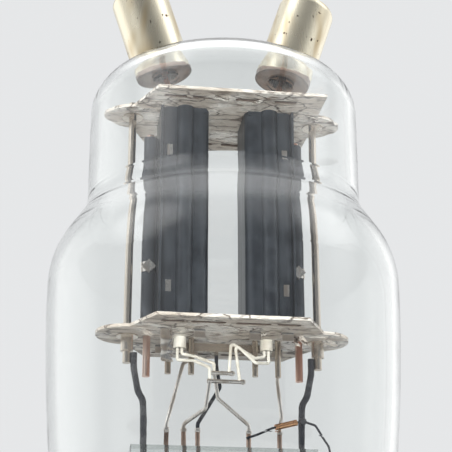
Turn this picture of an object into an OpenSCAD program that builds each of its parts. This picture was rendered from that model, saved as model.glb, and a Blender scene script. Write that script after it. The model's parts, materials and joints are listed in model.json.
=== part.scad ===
// Twin triode tube with a shouldered glass bulb, two top caps and a seven pin base.
// The tube stands upright on its pins: the pin tips are at z = 0 and the axis is Z.
// The two triodes stand side by side along X, and -Y is the front.

/* [Base] */
// Length of the base pins below the base
pin_len = 15; // [13:0.5:16]
// Diameter of the circle that the pin centres lie on
pin_circle_d = 19.05; // [18.5:0.05:19.5]
// Diameter of the five thin pins
pin_d = 3.175; // [2.9:0.025:3.4]
// Diameter of the two heater pins
heater_pin_d = 3.96; // [3.6:0.01:4.2]
// Outer diameter of the moulded base shell
shell_d = 30.2; // [29.6:0.1:31.4]
// Height of the moulded base shell
shell_h = 24; // [23:0.5:26]
// Wall of the moulded base shell
shell_t = 1.1; // [0.8:0.1:1.4]
// Thickness of the floor of the base shell
floor_t = 3; // [2.4:0.2:3.6]
// Gap filled by cement between the shell and the neck of the bulb
cement_gap = 0.4; // [0.2:0.05:0.6]

/* [Bulb] */
// Largest diameter of the bulb
bulb_d = 38.1; // [37.2:0.1:39.4]
// Diameter of the narrow upper part of the bulb
dome_d = 30.2; // [29.9:0.1:30.9]
// Height of the widest part above the base shell
waist_h = 31.6; // [31:0.2:32.4]
// Height of the dome top above the widest part
dome_rise = 27.3; // [27:0.1:28.5]
// Thickness of the glass wall
glass_t = 0.8; // [0.5:0.1:1]
// Radius of the flattened top of the dome
crown_r = 30; // [26:1:34]
// Radius of the edge where the top of the dome turns down
knuckle_r = 4.4; // [4:0.2:5]

/* [Caps] */
// Diameter of the anode caps
cap_d = 6.6; // [6.2:0.05:6.8]
// Length of the anode caps
cap_len = 10.25; // [9.25:0.25:11]
// Wall of the anode caps
cap_t = 0.3; // [0.25:0.05:0.5]
// Distance from the tube axis to each cap where it meets the dome
cap_x = 7; // [6.7:0.1:7.2]
// Outward lean of each cap
cap_tilt = 18; // [15:1:20]
// Diameter of the anode leads
lead_d = 0.6; // [0.5:0.05:0.7]

/* [Mica plates] */
// Height of the lower plate above the base shell
mica_h = 26.6; // [26.2:0.1:27.4]
// Clear height between the two plates
mica_gap = 25.3; // [24.6:0.1:25.5]
// Thickness of the plates
mica_t = 0.35; // [0.25:0.05:0.45]
// Depth of the plates from front to back
mica_depth = 16; // [15:0.25:17]
// Width of the straight front edge of the lower plate
lower_mica_w = 15.8; // [15:0.2:17]
// Width of the straight front edge of the upper plate
upper_mica_w = 18.2; // [17:0.2:19]
// Sideways offset of the straight edges of the upper plate
upper_mica_x = 1.1; // [0:0.1:1.4]
// Radius of the ears of the lower plate
lower_ear_r = 3.4; // [3:0.1:3.8]
// Radius of the ears of the upper plate
upper_ear_r = 2.75; // [2.4:0.05:2.9]
// Radius of the noses of the upper plate, which steady it in the dome
nose_r = 1.5; // [1.3:0.1:1.7]

/* [Anodes] */
// Distance from the tube axis to the centre of each triode
triode_x = 4.7; // [4.5:0.05:4.9]
// Width of each anode box
anode_w = 5.4; // [5.1:0.05:5.6]
// Depth of each anode box
anode_d = 6.8; // [6.2:0.1:7.4]
// Thickness of the anode sheet
anode_t = 0.25; // [0.2:0.05:0.3]
// Radius of the corners of each anode box
anode_corner_r = 1; // [0.8:0.1:1.2]
// Radius of the upright stiffening bead in each wide wall
bead_r = 0.95; // [0.8:0.05:1.05]
// Outer diameter of the rolled edge that grips the anode rod
roll_d = 1.5; // [1.4:0.05:1.6]
// Diameter of the anode rods
anode_rod_d = 0.8; // [0.6:0.05:0.9]
// Width of the tabs that pass through the plates
tab_w = 1.2; // [0.9:0.1:1.4]
// Length of the tabs past the plates
tab_out = 0.9; // [0.6:0.1:1.2]

/* [Cathodes and grids] */
// Outer diameter of the cathode sleeves
cathode_d = 1.4; // [1.3:0.05:1.5]
// Wall of the cathode sleeves
cathode_t = 0.15; // [0.1:0.05:0.2]
// Diameter of the coated heater wire
heater_d = 0.34; // [0.28:0.02:0.36]
// Distance from each cathode axis to its grid side rods
grid_rod_x = 1.25; // [1.2:0.05:1.35]
// Diameter of the grid side rods
grid_rod_d = 0.65; // [0.5:0.05:0.7]
// Outer diameter of the grid winding
grid_d = 3.25; // [3.1:0.05:3.5]
// Diameter of the grid wire
grid_wire_d = 0.14; // [0.1:0.02:0.2]
// Pitch of the grid winding
grid_pitch = 1; // [0.9:0.1:1.5]

/* [Stem and supports] */
// Distance from the tube axis to each support rod
rod_x = 10.35; // [10.2:0.05:10.5]
// Diameter of the support rods
rod_d = 0.86; // [0.76:0.02:0.9]
// Diameter of the dark support wires that rise from the stem
support_d = 0.7; // [0.65:0.05:0.9]
// Diameter of the stem wires
stem_wire_d = 0.5; // [0.4:0.05:0.6]
// Diameter of the glass tube of the stem
stem_d = 15; // [14.6:0.1:15.6]
// Thickness of the flattened top of the stem
press_t = 3.6; // [3:0.2:4.2]
// Width of the flattened top of the stem
press_w = 19.6; // [19:0.2:20.4]
// Height of the top of the stem above the base shell
press_top_h = 14.3; // [13.8:0.1:14.8]
// Diameter of the exhaust tube
exhaust_d = 4; // [3.6:0.1:4.4]

/* [Hidden] */
$fn = 48;
LEFT = -1;
RIGHT = 1;
eps = 0.01;
bend_swell = 1.04;

// Heights along the axis
shell_z = pin_len;
floor_z = shell_z + floor_t;
rim_z = shell_z + shell_h;
waist_z = rim_z + waist_h;
apex_z = waist_z + dome_rise;
lower_z = rim_z + mica_h;
under_z = lower_z - mica_t;
upper_z = lower_z + mica_gap;
press_top = rim_z + press_top_h;

// Outline of the bulb, from the dome down to the neck
join = 0.002;
root_gap = 2;
neck_depth = 13.2;
dome_r = dome_d / 2;
waist_r = bulb_d / 2;
neck_r = shell_d / 2 - shell_t - cement_gap;
crown_z = apex_z - crown_r;
knuckle_x = dome_r - knuckle_r;
knuckle_z = crown_z + sqrt(pow(crown_r - knuckle_r, 2) - pow(knuckle_x, 2));
shoulder_r = 10;
shoulder_slope = 33.6;
shoulder_x = waist_r - shoulder_r - join;
slope_x = shoulder_x + shoulder_r * cos(shoulder_slope);
slope_z = waist_z + shoulder_r * sin(shoulder_slope);
corner_z = slope_z + (slope_x - dome_r) / tan(shoulder_slope);
fillet_r = 4.5;
fillet_len = fillet_r * tan(shoulder_slope / 2);
flank_r = 180;
flank_turn = 6.2;
belly_r = 12;
belly_x = waist_r - (flank_r - belly_r) * (1 - cos(flank_turn)) - belly_r;
belly_z = waist_z - (flank_r - belly_r) * sin(flank_turn);
root_z = rim_z + root_gap;
neck_in = neck_r - belly_x;
root_r = (pow(neck_in, 2) + pow(belly_z - root_z, 2) - pow(belly_r, 2)) / (2 * (belly_r - neck_in));
root_x = neck_r + root_r;
belly_turn = atan2(belly_z - root_z, root_x - belly_x);
neck_z = rim_z - neck_depth;

// Place of each cap on the dome
cap_z = crown_z + sqrt(pow(crown_r, 2) - pow(cap_x, 2));
cap_bore_r = cap_d / 2 - cap_t;
nipple_r = 1.5;
nipple_h = 3.4;
cap_cement_h = 4.6;
cap_edge_r = 1;
cap_seat = 1;
cap_curl = 0.15;
cap_curl_h = 0.5;

// Places in the electrode assembly
lead_r = lead_d / 2;
lead_x = triode_x + 1.6;
lead_y = -(anode_d / 2 - anode_t - lead_r);
lead_end_z = upper_z - 3;
roll_x = triode_x + anode_w / 2 + roll_d / 2 + 0.1;
roll_low = lower_z + 0.5;
roll_top = upper_z - 2.6;
anode_rod_end = under_z - 4.4;
tab_step = 1.75;
nose_gap = 0.7;
nose_x = dome_r - glass_t - nose_gap - nose_r;
inner_slot_x = 2.35;
outer_slot_x = 6.05;
slot_in = 1.9;
slot_w = 0.6;
clip_x = 1.65;
clip_low = 4.3;
clip_high = 5.3;
clip_w = 0.6;
clip_h = 1.3;
clip_t = 0.12;
crimp_z = lower_z + 7.3;
crimp_h = 1.1;
crimp_t = 0.1;
crimp_in = 0.2;
crimp_fold = 0.4;
grid_end_z = under_z - 4;
grid_top_z = upper_z + mica_t + 1.6;
cathode_end_z = under_z - 1.2;
cathode_top_z = upper_z + mica_t + 1.1;
strap_t = 0.12;
strap_h = 0.9;
rod_end_z = under_z - 3;
rod_top_z = upper_z + mica_t + 1.3;
eyelet_wall = 0.25;
eyelet_drop = 1.7;
eyelet_flange = 0.5;
eyelet_t = 0.15;

// Wires below the lower plate
fine_r = 0.2;
bar_r = 0.22;
front_leg_y = -0.8;
rear_leg_y = -1.2;
upper_bar_z = under_z - 3.95;
lower_bar_z = under_z - 4.95;
weld_z = press_top + 1.8;
support_x = 8.4;
support_grip = 5.5;
bead_z = press_top + 3.2;
bead_x = 0.05;
drop_r = 0.45;
tail_out = 3.2;
tail_drop = 4.6;
bond_mid_x = 5.1;
bond_mid_h = 2.3;
bond_end_h = 1.3;
bond_r = 0.12;
bond_y = -(support_d / 2 + bond_r);
bond_end_y = -(stem_wire_d / 2 + bond_r);
sleeve_r = 0.32;
grid_wire_x = 6;
lower_wire_x = -4.2;
inner_wire_x = 2.7;
left_leave_z = cathode_end_z - 0.95;
left_middle = [triode_x - 0.45, 0.6, cathode_end_z - 1.5];
right_leave_z = grid_end_z - 0.4;
right_middle = [grid_wire_x + 0.3, 0.2, weld_z + 1.8];

// Stem below the press
stem_r = stem_d / 2;
stem_wall = 1;
flare_z = neck_z + (neck_r - stem_r);
wedge_low = rim_z - 1;
wedge_high = press_top - 7;
cavity_rate = (stem_r - stem_wall - 1) / (wedge_high - wedge_low - 0.6);
exhaust_top = wedge_low + (stem_r - stem_wall - exhaust_d / 2) / cavity_rate;
exhaust_bore = 2.4;
exhaust_tip = floor_z + 2;
wire_turn_z = flare_z - 0.8;

// Pins and the cement of the base
pin_top = floor_z + 1.5;
pin_tip_h = 0.9;
pin_taper = 0.62;
pin_collar = 0.45;
pin_wall = 0.5;
pin_solder_h = 4;
wire_tip_z = 1;
cement_h = 6;
cement_drop = 0.3;

// Turns each pin number into its direction, with the heater pins at the front
function pin_angle(n) = -90 + (n - 0.5) * 360 / 7;
function pin_radius(n) = (n == 1 || n == 7) ? heater_pin_d / 2 : pin_d / 2;
function pin_x(n) = pin_circle_d / 2 * cos(pin_angle(n));
function pin_y(n) = pin_circle_d / 2 * sin(pin_angle(n));

// Round bar between two points
module bar(a, b, r) {
    v = b - a;
    translate(a)
        rotate([0, acos(v[2] / norm(v)), atan2(v[1], v[0])])
            cylinder(r = r, h = norm(v));
}

function unit(v) = v / norm(v);
function heading(points, i) = unit(points[i + 1] - points[i]);
function turn(points, i) = acos(min(1, heading(points, i - 1) * heading(points, i)));

// Bend radius at a corner: a slight turn takes a wider one, so that it stays longer than the wire is thick
function bend_at(points, i, r, bend) = max(bend, r / tan(turn(points, i) / 2));
function lap(points, i, r, bend) = i == 0 || i == len(points) - 1
    ? 0
    : bend_at(points, i, r, bend) * tan(turn(points, i) / 2) - r / 4;

// Round bend of a wire at a corner, from one heading to the next
module elbow(corner, from, to, r, bend) {
    angle = acos(min(1, from * to));
    centre = corner + unit(to - from) * bend / cos(angle / 2);
    x = unit(corner - from * bend * tan(angle / 2) - centre);
    z = cross(x, from);
    multmatrix([
        [x[0], from[0], z[0], centre[0]],
        [x[1], from[1], z[1], centre[1]],
        [x[2], from[2], z[2], centre[2]],
        [0, 0, 0, 1]
    ]) rotate_extrude(angle = angle) translate([bend, 0]) circle(r * bend_swell, $fn = 24);
}

// Wire that follows a list of points, bent to a radius at each corner; each bend is a
// little thicker than the wire, as a pressed bend is, and laps the straights beside it
module wire(points, r, bend) {
    for (i = [0:len(points) - 2]) bar(
        points[i] + heading(points, i) * lap(points, i, r, bend),
        points[i + 1] - heading(points, i) * lap(points, i + 1, r, bend),
        r
    );
    for (i = [1:len(points) - 2])
        elbow(points[i], heading(points, i - 1), heading(points, i), r, bend_at(points, i, r, bend));
}

module rounded_rectangle(w, h, r) {
    square([w - 2 * r, h], center = true);
    square([w, h - 2 * r], center = true);
    for (x = [-1, 1], y = [-1, 1]) translate([x * (w / 2 - r), y * (h / 2 - r)]) circle(r);
}

// Concave round between two points of the outline, with the solid on the axis side
module hollow_round(upper, lower, centre, r, reach) {
    difference() {
        polygon([upper, lower, [0, lower[1] - reach], [0, upper[1] + reach]]);
        translate(centre) circle(r);
    }
}

// Half outline of the solid bulb, taken in from the outer skin by inset. The pieces
// lap each other on the inside, and each round stands proud of its neighbours by join,
// so that their edges cross instead of touching.
module bulb_outline(inset) {
    slope_in = inset * cos(shoulder_slope);
    slope_down = inset * sin(shoulder_slope);
    dome_side = dome_r - inset;
    neck_side = neck_r - inset;
    slope_foot = [slope_x - slope_in, slope_z - slope_down];
    corner = [dome_side, slope_foot[1] + (slope_foot[0] - dome_side) / tan(shoulder_slope)];
    fillet_foot = [
        dome_r + fillet_len * sin(shoulder_slope) - slope_in,
        corner_z - fillet_len * cos(shoulder_slope) - slope_down
    ];
    belly_foot = [
        belly_x + (belly_r - inset) * cos(belly_turn),
        belly_z - (belly_r - inset) * sin(belly_turn)
    ];
    flank_foot_z = waist_z - (flank_r - inset) * sin(flank_turn);
    open_end = inset > 0 ? 1 : 0;
    intersection() {
        translate([0, crown_z]) circle(crown_r - inset, $fn = 180);
        polygon([[0, crown_z], 3 * [knuckle_x, knuckle_z - crown_z] + [0, crown_z], [0, apex_z + crown_r]]);
    }
    translate([knuckle_x, knuckle_z]) circle(knuckle_r - inset + join);
    translate([0, waist_z]) square([knuckle_x, knuckle_z - waist_z]);
    translate([0, waist_z]) square([dome_side, knuckle_z - waist_z]);
    hollow_round([dome_side, corner_z + fillet_len], fillet_foot,
        [dome_r + fillet_r, corner_z + fillet_len], fillet_r + inset + join, 1);
    polygon([corner, slope_foot, [0, waist_z], [0, corner[1]]]);
    translate([shoulder_x, waist_z]) circle(shoulder_r - inset + join, $fn = 96);
    intersection() {
        translate([waist_r - flank_r - join, waist_z]) circle(flank_r - inset, $fn = 720);
        translate([0, flank_foot_z]) square([bulb_d, waist_z - flank_foot_z]);
    }
    translate([belly_x, belly_z]) circle(belly_r - inset + join, $fn = 96);
    translate([0, belly_foot[1]]) square([belly_x, waist_z - belly_foot[1]]);
    hollow_round(belly_foot, [neck_side, root_z], [root_x, root_z], root_r + inset + join, 1);
    translate([0, neck_z - open_end]) square([neck_side, belly_foot[1] - neck_z + open_end]);
}

module solid_bulb(inset) {
    rotate_extrude($fn = 96) intersection() {
        bulb_outline(inset);
        translate([0, neck_z - 2]) square([waist_r + 1, apex_z - neck_z + 3]);
    }
}

// Moves its children from the origin to the foot of a cap, with Z along the cap
module at_cap(side) {
    translate([side * cap_x, 0, cap_z]) rotate([0, side * cap_tilt, 0]) children();
}

function cap_point(side, h) = [
    side * (cap_x + h * sin(cap_tilt)), 0, cap_z + h * cos(cap_tilt)
];

module anode_lead(side) {
    wire([
        cap_point(side, cap_len),
        cap_point(side, -glass_t - 1.3),
        [side * lead_x, lead_y, upper_z + 2.2],
        [side * lead_x, lead_y, lead_end_z]
    ], lead_r, 2 * lead_r);
}

module glass_bulb() {
    color([0.86, 0.9, 0.9, 0.4]) difference() {
        union() {
            solid_bulb(0);
            for (side = [LEFT, RIGHT]) at_cap(side) {
                translate([0, 0, -glass_t]) cylinder(r = nipple_r, h = nipple_h + glass_t);
            }
        }
        difference() {
            solid_bulb(glass_t);
            for (side = [LEFT, RIGHT]) at_cap(side) {
                translate([0, 0, -glass_t - 0.5]) cylinder(r = nipple_r, h = 3);
            }
        }
        for (side = [LEFT, RIGHT]) anode_lead(side);
    }
}

module anode_cap(side) {
    color("#cfc4a4") difference() {
        at_cap(side) difference() {
            union() {
                translate([0, 0, -cap_seat])
                    cylinder(r1 = cap_d / 2 - cap_curl, r2 = cap_d / 2, h = cap_seat + cap_curl_h);
                translate([0, 0, cap_curl_h]) cylinder(d = cap_d, h = cap_len - cap_curl_h - cap_edge_r);
                translate([0, 0, cap_len - cap_edge_r]) rotate_extrude() {
                    square([cap_d / 2 - cap_edge_r, cap_edge_r]);
                    intersection() {
                        translate([cap_d / 2 - cap_edge_r, 0]) circle(cap_edge_r);
                        square([cap_d, cap_edge_r]);
                    }
                }
            }
            translate([0, 0, -cap_seat - eps])
                cylinder(r = cap_bore_r, h = cap_len + cap_seat - cap_t + eps);
        }
        solid_bulb(0);
        anode_lead(side);
    }
}

module cap_cement(side) {
    color("#6b5138") difference() {
        at_cap(side) translate([0, 0, -cap_seat]) cylinder(r = cap_bore_r, h = cap_cement_h + cap_seat);
        solid_bulb(0);
        at_cap(side) translate([0, 0, -glass_t]) cylinder(r = nipple_r, h = nipple_h + glass_t);
        anode_lead(side);
    }
}

// Solder drop that closes the hole in the top of a cap
module cap_solder(side) {
    color("#b9b9b2") at_cap(side) translate([0, 0, cap_len]) intersection() {
        translate([0, 0, -0.6]) sphere(r = 1.1);
        cylinder(r = 2, h = 2);
    }
}

module pin_body(n) {
    r = pin_radius(n);
    translate([pin_x(n), pin_y(n), 0]) {
        cylinder(r1 = r * pin_taper, r2 = r, h = pin_tip_h);
        translate([0, 0, pin_tip_h]) cylinder(r = r, h = pin_top - pin_tip_h);
        translate([0, 0, shell_z]) cylinder(r = r + pin_collar, h = floor_t / 2);
    }
}

// Pins 2 and 6 have no wire
module base_pin(n) {
    wired = n != 2 && n != 6;
    color("#b9ab86") difference() {
        pin_body(n);
        translate([pin_x(n), pin_y(n), pin_solder_h]) cylinder(r = pin_radius(n) - pin_wall, h = pin_top);
        if (wired)
            translate([pin_x(n), pin_y(n), wire_tip_z]) cylinder(d = stem_wire_d, h = pin_solder_h);
    }
}

module base_shell() {
    r = shell_d / 2;
    color("#2a1d16") difference() {
        union() {
            translate([0, 0, shell_z]) cylinder(r1 = r - 0.7, r2 = r, h = 0.7, $fn = 96);
            translate([0, 0, shell_z + 0.7]) cylinder(r = r, h = shell_h - 1.1, $fn = 96);
            translate([0, 0, rim_z - 0.4]) cylinder(r1 = r, r2 = r - 0.4, h = 0.4, $fn = 96);
        }
        translate([0, 0, floor_z]) cylinder(r = r - shell_t, h = shell_h, $fn = 96);
        for (n = [1:7]) pin_body(n);
    }
}

module base_cement() {
    color("#9a8a6c") translate([0, 0, rim_z - cement_drop - cement_h]) difference() {
        cylinder(r = shell_d / 2 - shell_t, h = cement_h, $fn = 96);
        translate([0, 0, -eps]) cylinder(r = neck_r, h = cement_h + 2 * eps, $fn = 96);
    }
}

// Wire from the top of the stem down to the tip of its pin
module stem_wire(x, n) {
    color("#8a6f5c") wire([
        [x, 0, weld_z],
        [x, 0, wire_turn_z],
        [pin_x(n), pin_y(n), pin_top + 1],
        [pin_x(n), pin_y(n), wire_tip_z]
    ], stem_wire_d / 2, 2);
}

module stem_wire_1() stem_wire(inner_wire_x, 1);
module stem_wire_3() stem_wire(grid_wire_x, 3);
module stem_wire_4() stem_wire(-inner_wire_x, 4);
module stem_wire_5() stem_wire(-grid_wire_x, 5);
module stem_wire_7() stem_wire(lower_wire_x, 7);

// The pressed stem: a flared tube whose top is squeezed flat around the wires
module glass_stem() {
    bore = stem_r - stem_wall;
    cavity_h = wedge_high - wedge_low;
    color([0.8, 0.86, 0.86, 0.5]) difference() {
        union() {
            rotate_extrude($fn = 96) {
                intersection() {
                    translate([bore, neck_z - stem_wall])
                        square([neck_r - bore, flare_z - neck_z + stem_wall]);
                    difference() {
                        translate([neck_r, flare_z]) circle(neck_r - bore);
                        translate([neck_r, flare_z]) circle(neck_r - stem_r);
                    }
                }
                translate([bore, flare_z]) square([stem_wall, wedge_low - flare_z]);
            }
            press_body();
        }
        translate([0, 0, wedge_low])
            cylinder(r1 = bore, r2 = bore - cavity_h * cavity_rate, h = cavity_h);
        for (x = [-grid_wire_x, lower_wire_x, -inner_wire_x, inner_wire_x, grid_wire_x])
            translate([x, 0, wedge_low - 1]) cylinder(d = stem_wire_d, h = press_top);
        for (side = [LEFT, RIGHT])
            translate([side * support_x, 0, press_top - support_grip])
                cylinder(d = support_d, h = 2 * support_grip);
        translate([0, 0, neck_z]) difference() {
            cylinder(r = neck_r + 1, h = 1, $fn = 96);
            translate([0, 0, -1]) cylinder(r = neck_r - glass_t, h = 3, $fn = 96);
        }
    }
}

module press_body() {
    h = press_top - wedge_low;
    rise = wedge_high - wedge_low;
    intersection() {
        translate([-press_w, 0, wedge_low]) rotate([90, 0, 90]) linear_extrude(2 * press_w) polygon([
            [-stem_r, 0], [stem_r, 0], [press_t / 2, rise],
            [press_t / 2, h], [-press_t / 2, h], [-press_t / 2, rise]
        ]);
        translate([0, stem_d, wedge_low]) rotate([90, 0, 0]) linear_extrude(2 * stem_d) polygon([
            [-stem_r, 0], [stem_r, 0], [press_w / 2, rise],
            [press_w / 2, h], [-press_w / 2, h], [-press_w / 2, rise]
        ]);
        union() {
            translate([0, 0, wedge_low])
                cylinder(r1 = stem_r, r2 = press_w / 2 + 0.1, h = rise, $fn = 96);
            translate([0, 0, wedge_high]) cylinder(r = press_w / 2 + 0.1, h = h, $fn = 96);
        }
    }
}

module exhaust_tube() {
    r = exhaust_d / 2;
    color([0.8, 0.86, 0.86, 0.5]) difference() {
        union() {
            translate([0, 0, exhaust_tip + r]) cylinder(r = r, h = exhaust_top - exhaust_tip - r);
            translate([0, 0, exhaust_tip + r]) sphere(r = r);
        }
        translate([0, 0, exhaust_tip + r + 0.4]) cylinder(d = exhaust_bore, h = exhaust_top);
    }
}

// Outline of one mica plate without its holes
module mica_outline(w, shift, ear_r) {
    waist = ear_r - 0.1;
    left = shift - w / 2;
    right = shift + w / 2;
    polygon([
        [left, -mica_depth / 2], [right, -mica_depth / 2], [rod_x, -waist],
        [rod_x, waist], [right, mica_depth / 2], [left, mica_depth / 2],
        [-rod_x, waist], [-rod_x, -waist]
    ]);
    for (side = [LEFT, RIGHT]) translate([side * rod_x, 0]) circle(ear_r);
}

// Slot with round ends
module slot(length, width) {
    square([length - width, width], center = true);
    for (side = [LEFT, RIGHT]) translate([side * (length - width) / 2, 0]) circle(width / 2);
}

// Holes that both plates share; the long slots lengthen the path for leakage
module mica_holes() {
    for (side = [LEFT, RIGHT]) {
        translate([side * rod_x, 0]) circle(rod_d / 2 + eyelet_wall);
        translate([side * triode_x, 0]) circle(cathode_d / 2);
        for (step = [LEFT, RIGHT])
            translate([side * triode_x + step * grid_rod_x, 0]) circle(grid_rod_d / 2);
        for (front = [-1, 1]) {
            translate([side * inner_slot_x, front * (mica_depth / 2 - slot_in)]) slot(3.7, slot_w);
            translate([side * outer_slot_x, front * (mica_depth / 2 - slot_in)]) slot(2.5, slot_w);
        }
    }
}

module tab_outline(side, steps) {
    for (front = [-1, 1], step = steps)
        translate([
            side * (triode_x + step * tab_step) - tab_w / 2,
            front * (anode_d - anode_t) / 2 - anode_t / 2
        ]) square([tab_w, anode_t]);
}

module mica_upper() {
    color("#d9cdbd") translate([0, 0, upper_z]) linear_extrude(mica_t) difference() {
        union() {
            mica_outline(upper_mica_w, upper_mica_x, upper_ear_r);
            for (side = [LEFT, RIGHT]) translate([side * nose_x, 0]) circle(nose_r);
        }
        mica_holes();
        for (side = [LEFT, RIGHT]) {
            tab_outline(side, [-1]);
            translate([side * lead_x, lead_y]) circle(lead_r);
        }
    }
}

module mica_lower() {
    color("#d9cdbd") translate([0, 0, under_z]) linear_extrude(mica_t) difference() {
        mica_outline(lower_mica_w, 0, lower_ear_r);
        mica_holes();
        for (side = [LEFT, RIGHT]) {
            tab_outline(side, [-1, 1]);
            translate([side * roll_x, 0]) circle(d = anode_rod_d);
        }
    }
}

// Riveted eyelet that holds a plate on its support rod, with a barrel that hangs by drop
module eyelet(side, z, drop) {
    r = rod_d / 2 + eyelet_wall;
    color("#a9a39a") translate([side * rod_x, 0, z]) difference() {
        union() {
            translate([0, 0, -eyelet_t]) cylinder(r = r + eyelet_flange, h = eyelet_t);
            translate([0, 0, -drop]) cylinder(r = r, h = mica_t + drop);
            translate([0, 0, mica_t]) cylinder(r = r + eyelet_flange, h = eyelet_t);
        }
        translate([0, 0, -drop - 1]) cylinder(d = rod_d, h = mica_t + drop + 2);
    }
}

module support_rod(side) {
    color("#b8ab98") translate([side * rod_x, 0, rod_end_z]) cylinder(d = rod_d, h = rod_top_z - rod_end_z);
}

// Wire from the flat of the stem to the foot of a support rod
module support_wire(side) {
    weld_x = rod_x - rod_d / 2 - support_d / 2;
    color("#2b2c30") wire([
        [side * weld_x, 0, under_z - eyelet_drop - 0.15],
        [side * weld_x, 0, rod_end_z - 0.5],
        [side * (weld_x - 0.5), 0, rod_end_z - 3],
        [side * (support_x + 0.1), 0, press_top + 5],
        [side * support_x, 0, press_top + 2.8],
        [side * support_x, 0, press_top - support_grip]
    ], support_d / 2, 1.5);
}

// Section of one anode: a folded box with a bead in each wide wall and a standing lip
module anode_box(side) {
    difference() {
        union() {
            rounded_rectangle(anode_w, anode_d, anode_corner_r);
            for (front = [-1, 1]) translate([0, front * (anode_d / 2 - anode_t)]) circle(bead_r);
            translate([side * (anode_w / 2 - anode_t), -anode_d / 2 - 0.35])
                translate([side < 0 ? -anode_t : 0, 0]) square([anode_t, anode_corner_r + 0.35]);
        }
        rounded_rectangle(anode_w - 2 * anode_t, anode_d - 2 * anode_t, anode_corner_r - anode_t);
        for (front = [-1, 1]) translate([0, front * (anode_d / 2 - anode_t)]) circle(bead_r - anode_t);
    }
}

module anode(side) {
    color("#2a313b") {
        translate([side * triode_x, 0, lower_z]) linear_extrude(upper_z - lower_z) anode_box(side);
        translate([0, 0, under_z - tab_out])
            linear_extrude(lower_z - under_z + tab_out + 0.5) tab_outline(side, [-1, 1]);
        translate([0, 0, upper_z - 0.5]) linear_extrude(mica_t + tab_out + 0.5) tab_outline(side, [-1]);
        translate([0, 0, roll_low]) linear_extrude(roll_top - roll_low) difference() {
            union() {
                translate([side * roll_x, 0]) circle(d = roll_d);
                translate([side * (roll_x - roll_d / 2) - 0.2, -anode_t / 2]) square([0.4, anode_t]);
            }
            translate([side * roll_x, 0]) circle(d = anode_rod_d);
        }
    }
}

module anode_rod(side) {
    color("#b98876") translate([side * roll_x, 0, anode_rod_end])
        cylinder(d = anode_rod_d, h = roll_top + 0.4 - anode_rod_end);
}

// Crumpled clip that closes the rolled edge round its rod
module crimp(side) {
    reach = roll_d / 2 + crimp_t;
    intersection() {
        translate([side * roll_x, 0, crimp_z - crimp_h / 2]) difference() {
            union() {
                cylinder(r = reach, h = crimp_h);
                translate([0, -reach, crimp_h / 2]) rotate([0, 45, 0])
                    cube([crimp_h, crimp_fold, crimp_h], center = true);
            }
            translate([0, 0, -crimp_h]) cylinder(d = roll_d, h = 3 * crimp_h);
        }
        translate([side * roll_x - 2, -4, crimp_z - 2]) cube([4, 4 - crimp_in, 4]);
    }
}

// Bright clips on the front wall and round the rolled edge of each anode
module anode_clips() {
    color("#d8d2bf") for (side = [LEFT, RIGHT]) {
        for (z = [lower_z + clip_low, upper_z - clip_high])
            translate([side * (triode_x + clip_x) - clip_w / 2, -anode_d / 2 - clip_t, z - clip_h / 2])
                cube([clip_w, clip_t, clip_h]);
        crimp(side);
    }
}

// Two side rods with the turns of the winding pressed into them
module grid(side) {
    turns = floor((mica_gap - 3) / grid_pitch);
    color("#9f9a90") translate([side * triode_x, 0, 0]) {
        for (step = [LEFT, RIGHT]) translate([step * grid_rod_x, 0, grid_end_z])
            cylinder(d = grid_rod_d, h = grid_top_z - grid_end_z, $fn = 24);
        for (i = [0:turns]) translate([0, 0, lower_z + 1.5 + i * grid_pitch]) difference() {
            cylinder(d = grid_d, h = grid_wire_d, $fn = 32);
            translate([0, 0, -eps])
                cylinder(d = grid_d - 2 * grid_wire_d, h = grid_wire_d + 2 * eps, $fn = 32);
        }
    }
}

module cathode(side) {
    color("#d9d4c6") translate([side * triode_x, 0, cathode_end_z]) difference() {
        cylinder(d = cathode_d, h = cathode_top_z - cathode_end_z);
        translate([0, 0, -eps]) cylinder(d = cathode_d - 2 * cathode_t, h = mica_gap + 10);
    }
}

// Hairpin heater: two legs up one sleeve, led out to the middle of the tube
module heater(side) {
    r = heater_d / 2;
    loop_r = 0.24;
    near = side * (triode_x - loop_r);
    far = side * (triode_x + loop_r);
    pass_x = side * (triode_x - 1.4);
    loop_z = upper_z + 0.4;
    near_end = side < 0 ? [-1.1, front_leg_y, under_z - 2.9] : [0.75, front_leg_y, under_z - 0.6];
    far_end = side < 0 ? [-1.6, rear_leg_y, under_z - 3.5] : [1.1, rear_leg_y, under_z - 0.8];
    near_foot = side < 0 ? -1.1 : 0.5;
    far_foot = 1.6 * side;
    color("#ece8df") difference() {
        union() {
            wire([
                [near, 0, loop_z + 0.03], [near, 0, under_z - 1.75], [pass_x, front_leg_y, under_z - 2.2],
                near_end, [near_foot, front_leg_y, upper_bar_z]
            ], r, 1.5 * r);
            wire([
                [far, 0, loop_z + 0.03], [far, 0, under_z - 2.45], [pass_x, rear_leg_y, under_z - 2.8],
                far_end, [far_foot, rear_leg_y, lower_bar_z]
            ], r, 1.5 * r);
            translate([side * triode_x, 0, loop_z]) rotate([90, 0, 0])
                rotate_extrude(angle = 180) translate([loop_r, 0]) circle(r * bend_swell, $fn = 24);
        }
        heater_bar_upper();
        heater_bar_lower();
    }
}

// Ribbon that joins the feet of the two cathodes
module cathode_strap() {
    color("#3a3a3c") translate([-triode_x - 0.4, cathode_d / 2, cathode_end_z])
        cube([2 * triode_x + 0.8, strap_t, strap_h]);
}

module cathode_lead() {
    y = cathode_d / 2 + strap_t + fine_r;
    color("#4a4642") wire([
        [-0.6, y, cathode_end_z + strap_h],
        [-0.6, y, cathode_end_z - 1.5],
        [-0.2, y, weld_z + 5.1],
        [-inner_wire_x, 0, weld_z + 0.9],
        [-inner_wire_x, 0, weld_z]
    ], fine_r, 0.5);
}

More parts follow.
